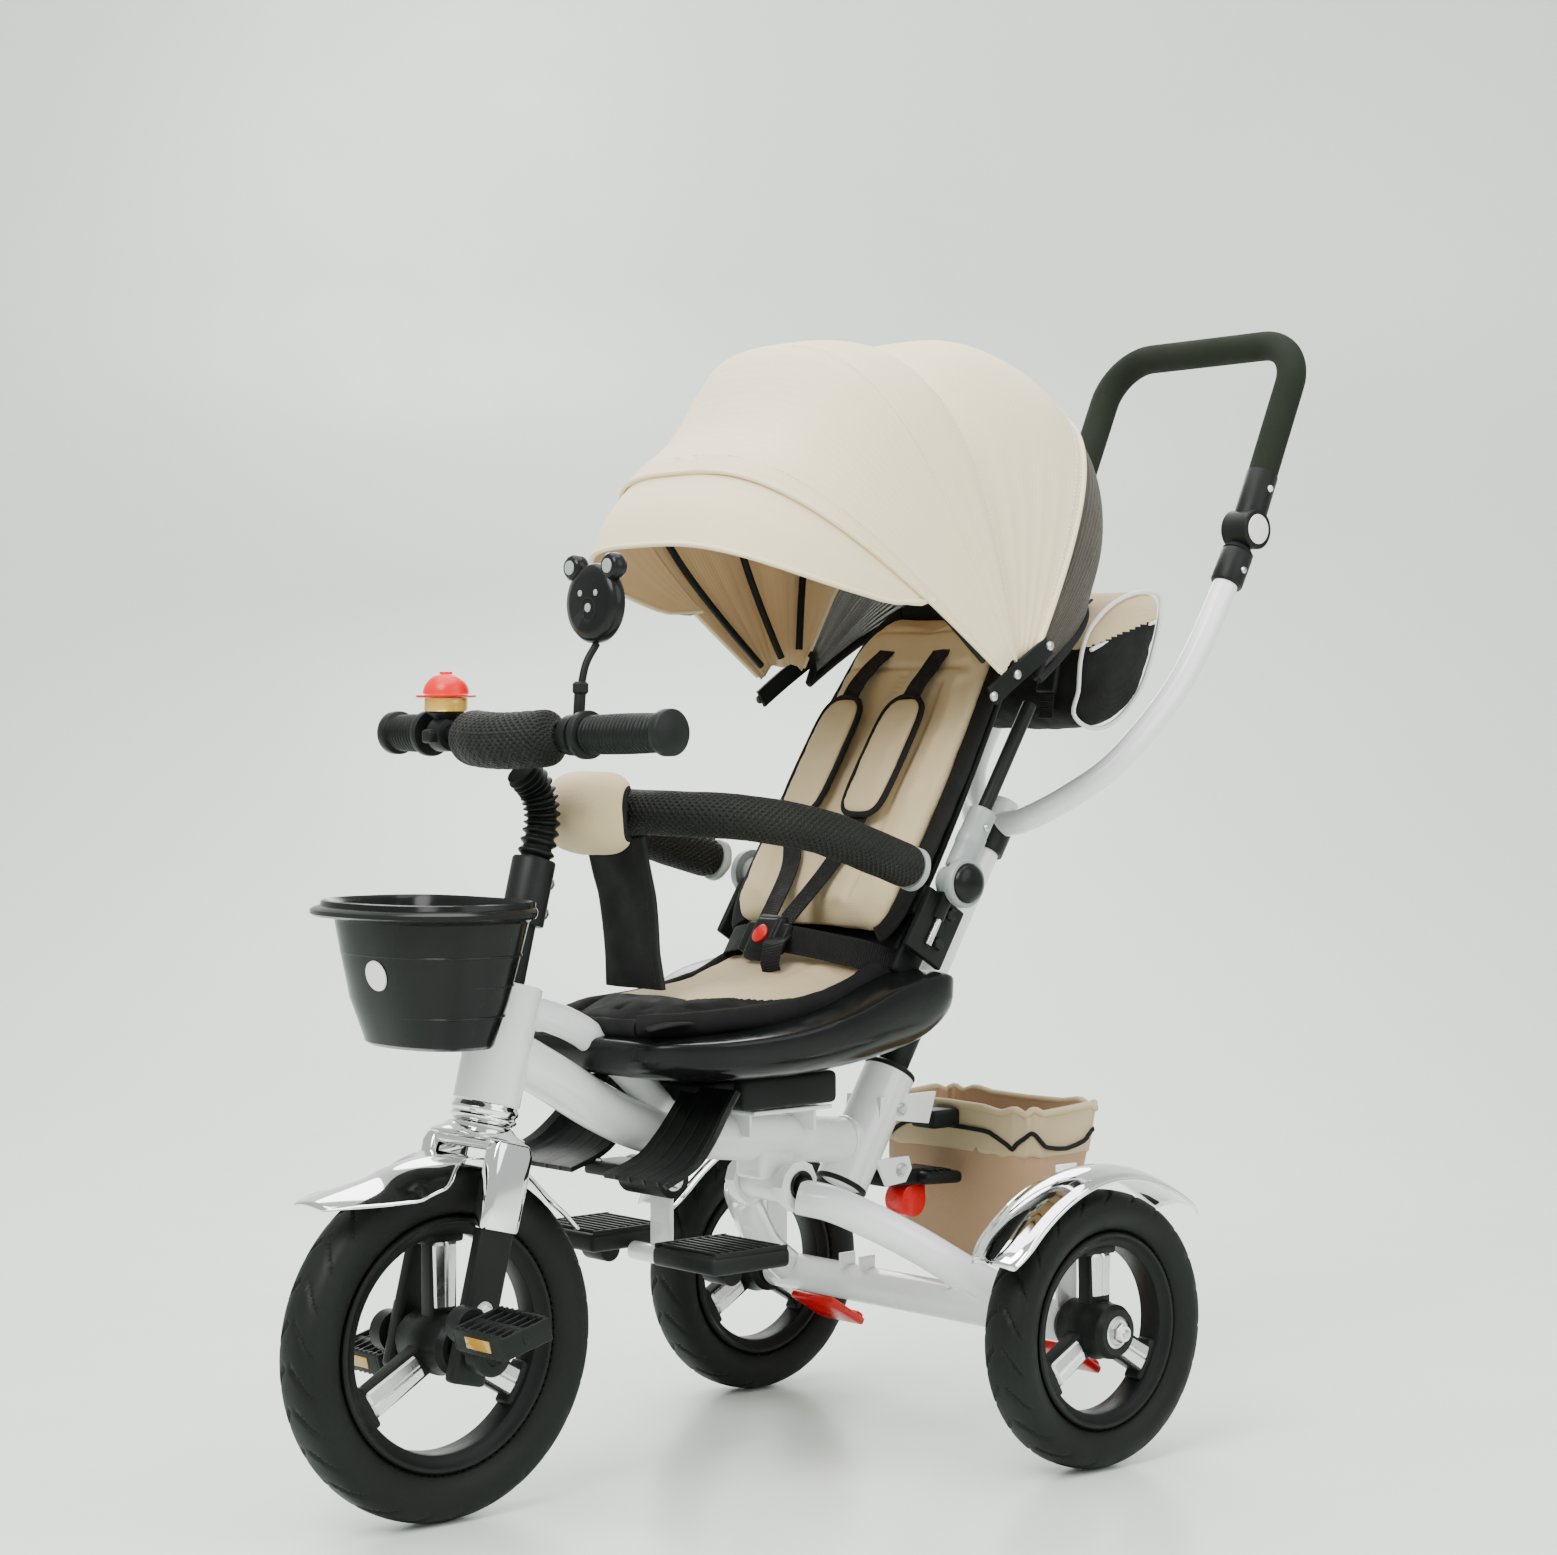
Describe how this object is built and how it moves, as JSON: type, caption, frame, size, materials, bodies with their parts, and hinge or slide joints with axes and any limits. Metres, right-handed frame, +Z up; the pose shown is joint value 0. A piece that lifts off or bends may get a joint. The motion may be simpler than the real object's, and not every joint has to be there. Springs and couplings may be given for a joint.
{
  "type": "children's tricycle",
  "caption": "Children's tricycle with parent push handle, folding canopy, reclined padded seat with safety bar, chrome mudguards, front basket and fabric rear basket.",
  "frame": {"origin": "on the ground, under the middle of the bounding box", "axes": "-Y is the way the tricycle drives, +Z is up and +X is the child's left"},
  "size_m": [0.544, 1.1437, 1.0733],
  "materials": {
    "white_paint": "gloss white paint",
    "black_plastic": "moulded black, satin to gloss",
    "black_foam": "black foam sleeve",
    "tyre_rubber": "matte black tyre with slanted tread",
    "chrome": "bright chrome",
    "grey_plastic": "greenish grey moulding",
    "red_plastic": "bright red",
    "amber_plastic": "amber",
    "cream_fabric": "woven cream canopy cloth",
    "beige_cushion": "padded beige cloth",
    "tan_fabric": "tan and brown cloth",
    "webbing": "black webbing",
    "bow_steel": "black coated steel"
  },
  "bodies": {
    "frame": {"main_frame": "white_paint", "headset": "chrome", "push_tubes": "white_paint", "post_bush": "black_plastic", "hoop_sleeve_left": "black_plastic", "hoop_sleeve_right": "black_plastic", "seat_shell": "black_plastic", "seat_base": "black_plastic", "seat_cushion": "beige_cushion", "backrest_shell": "black_plastic", "back_cushion": "beige_cushion", "shoulder_pad_left": "beige_cushion", "shoulder_pad_right": "beige_cushion", "waist_harness": "webbing", "upright_left": "bow_steel", "upright_right": "bow_steel", "bracket_left": "grey_plastic", "bracket_right": "grey_plastic", "calf_plate": "black_plastic", "foot_bar": "white_paint", "canopy_hood_rear": "cream_fabric", "canopy_bow_rear": "bow_steel", "storage_bag": "black_plastic", "rear_basket": "tan_fabric"},
    "fork": {"fork": "black_plastic", "front_fender": "chrome", "stem": "black_plastic", "handlebar": "black_plastic", "bar_foam": "black_foam", "grip_left": "black_plastic", "grip_right": "black_plastic", "bell_base": "amber_plastic", "bell_dome": "red_plastic", "mirror_neck": "black_plastic", "mirror_head": "black_plastic", "front_basket": "black_plastic"},
    "front_wheel": {"front_tyre": "tyre_rubber", "front_rim": "black_plastic", "crankset": "black_plastic"},
    "pedal_left": {"pedal_left": "black_plastic"},
    "pedal_right": {"pedal_right": "black_plastic"},
    "rear_frame": {"rear_fork": "white_paint", "rear_fender_left": "chrome", "rear_fender_right": "chrome"},
    "rear_wheel_left": {"rear_tyre_left": "tyre_rubber", "rear_rim_left": "black_plastic"},
    "rear_wheel_right": {"rear_tyre_right": "tyre_rubber", "rear_rim_right": "black_plastic"},
    "brake_left": {"brake_left": "red_plastic"},
    "brake_right": {"brake_right": "red_plastic"},
    "release": {"release_pedal": "black_plastic"},
    "bumper": {"bumper_bar": "black_foam", "bumper_cup": "beige_cushion", "bumper_flap": "black_foam"},
    "canopy_mid": {"canopy_bow_mid": "bow_steel"},
    "canopy_front": {"canopy_hood_front": "cream_fabric", "canopy_bow_front": "bow_steel"},
    "hoop": {"handle_hoop": "black_foam"},
    "foot_pad_left": {"foot_pad_left": "black_plastic"},
    "foot_pad_right": {"foot_pad_right": "black_plastic"}
  },
  "joints": [
    {"name": "steering", "type": "hinge", "parent": "frame", "child": "fork", "pos_m": [0, -0.4219, 0.15], "axis": [0, 0.2426, 0.9701], "range_deg": [-35, 35]},
    {"name": "front_wheel_spin", "type": "hinge", "parent": "fork", "child": "front_wheel", "pos_m": [0, -0.4219, 0.15], "axis": [1, 0, 0], "continuous": true},
    {"name": "pedal_left_spin", "type": "hinge", "parent": "front_wheel", "child": "pedal_left", "pos_m": [0.12, -0.4439, 0.177], "axis": [1, 0, 0], "continuous": true},
    {"name": "pedal_right_spin", "type": "hinge", "parent": "front_wheel", "child": "pedal_right", "pos_m": [-0.12, -0.3999, 0.123], "axis": [1, 0, 0], "continuous": true},
    {"name": "rear_frame_fold", "type": "hinge", "parent": "frame", "child": "rear_frame", "pos_m": [0, -0.0479, 0.25], "axis": [-1, 0, 0], "range_deg": [0, 60]},
    {"name": "rear_wheel_left_spin", "type": "hinge", "parent": "rear_frame", "child": "rear_wheel_left", "pos_m": [0.233, 0.1331, 0.125], "axis": [1, 0, 0], "continuous": true},
    {"name": "rear_wheel_right_spin", "type": "hinge", "parent": "rear_frame", "child": "rear_wheel_right", "pos_m": [-0.233, 0.1331, 0.125], "axis": [1, 0, 0], "continuous": true},
    {"name": "brake_left_press", "type": "hinge", "parent": "rear_frame", "child": "brake_left", "pos_m": [0.16, 0.1451, 0.098], "axis": [-1, 0, 0], "range_deg": [0, 18]},
    {"name": "brake_right_press", "type": "hinge", "parent": "rear_frame", "child": "brake_right", "pos_m": [-0.16, 0.1451, 0.098], "axis": [-1, 0, 0], "range_deg": [0, 18]},
    {"name": "release_press", "type": "hinge", "parent": "frame", "child": "release", "pos_m": [0, 0.0861, 0.25], "axis": [-1, 0, 0], "range_deg": [0, 12], "stiffness_Nm_per_rad": 1, "springref_deg": -8.02},
    {"name": "bumper_lift", "type": "hinge", "parent": "frame", "child": "bumper", "pos_m": [0, 0.0351, 0.527], "axis": [-1, 0, 0], "range_deg": [0, 30]},
    {"name": "canopy_front_fold", "type": "hinge", "parent": "frame", "child": "canopy_front", "pos_m": [0, 0.1131, 0.693], "axis": [-1, 0, 0], "range_deg": [0, 36]},
    {"name": "canopy_mid_fold", "type": "hinge", "parent": "frame", "child": "canopy_mid", "pos_m": [0, 0.1131, 0.693], "axis": [-1, 0, 0], "range_deg": [0, 18]},
    {"name": "hoop_tilt", "type": "hinge", "parent": "frame", "child": "hoop", "pos_m": [0, 0.4691, 0.864], "axis": [-1, 0, 0], "range_deg": [-15, 60]},
    {"name": "foot_pad_left_fold", "type": "hinge", "parent": "frame", "child": "foot_pad_left", "pos_m": [0.04, -0.1819, 0.2], "axis": [0, -1, 0], "range_deg": [0, 40]},
    {"name": "foot_pad_right_fold", "type": "hinge", "parent": "frame", "child": "foot_pad_right", "pos_m": [-0.04, -0.1819, 0.2], "axis": [0, 1, 0], "range_deg": [0, 40]}
  ],
  "couplings": [
    {"joint": "canopy_mid_fold", "follows": "canopy_front_fold", "ratio": 0.5}
  ]
}
